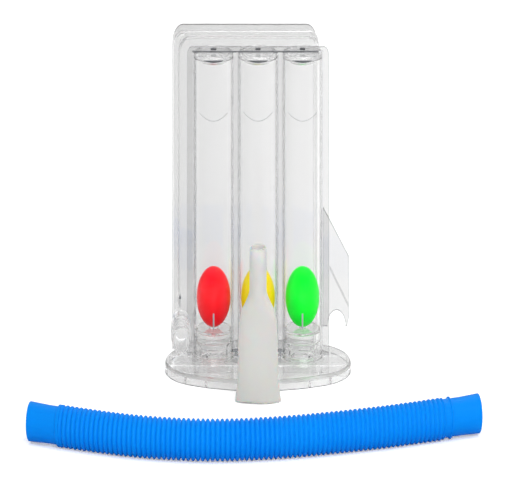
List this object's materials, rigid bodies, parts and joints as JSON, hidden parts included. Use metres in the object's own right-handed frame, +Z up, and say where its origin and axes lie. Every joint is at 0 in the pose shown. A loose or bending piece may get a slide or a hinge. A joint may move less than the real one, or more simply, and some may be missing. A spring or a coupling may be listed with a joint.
{
  "type": "incentive spirometer",
  "caption": "Clear flow incentive spirometer: balls in upright columns on an oval tray, air box behind, hose port, holder fin, loose mouthpiece and corrugated hose.",
  "frame": {"origin": "on the surface the tray stands on, under the axis of the middle column", "axes": "+Z up along the columns, -Y towards the user, +X from the red ball's column to the green ball's"},
  "size_m": [0.3496, 0.232, 0.1431],
  "materials": {
    "clear_styrene": "gloss",
    "red_ball": "gloss",
    "yellow_ball": "gloss",
    "green_ball": "gloss",
    "milky_polythene": "satin",
    "blue_hose": "satin"
  },
  "bodies": {
    "stand": {"base_tray": "clear_styrene", "column_left": "clear_styrene", "seat_left": "clear_styrene", "cap_left": "clear_styrene", "column_middle": "clear_styrene", "seat_middle": "clear_styrene", "cap_middle": "clear_styrene", "column_right": "clear_styrene", "seat_right": "clear_styrene", "cap_right": "clear_styrene", "front_panel": "clear_styrene", "plenum_shell": "clear_styrene", "rear_cover": "clear_styrene", "hose_port": "clear_styrene", "holder_fin": "clear_styrene"},
    "red": {"ball_red": "red_ball"},
    "yellow": {"ball_yellow": "yellow_ball"},
    "green": {"ball_green": "green_ball"},
    "mouth": {"mouthpiece": "milky_polythene"},
    "hose": {"hose_tube": "blue_hose", "hose_cuff_left": "blue_hose", "hose_cuff_right": "blue_hose"}
  },
  "joints": [
    {"name": "red_rise", "type": "slide", "parent": "stand", "child": "red", "axis": [0, 0, 1], "range_m": [0, 0.0885]},
    {"name": "yellow_rise", "type": "slide", "parent": "stand", "child": "yellow", "axis": [0, 0, 1], "range_m": [0, 0.0885]},
    {"name": "green_rise", "type": "slide", "parent": "stand", "child": "green", "axis": [0, 0, 1], "range_m": [0, 0.0885]},
    {"name": "mouthpiece_lift", "type": "slide", "parent": "stand", "child": "mouth", "axis": [0, 0, 1], "range_m": [0, 0.04]},
    {"name": "hose_lift", "type": "slide", "parent": "stand", "child": "hose", "axis": [0, 0, 1], "range_m": [0, 0.03]}
  ]
}
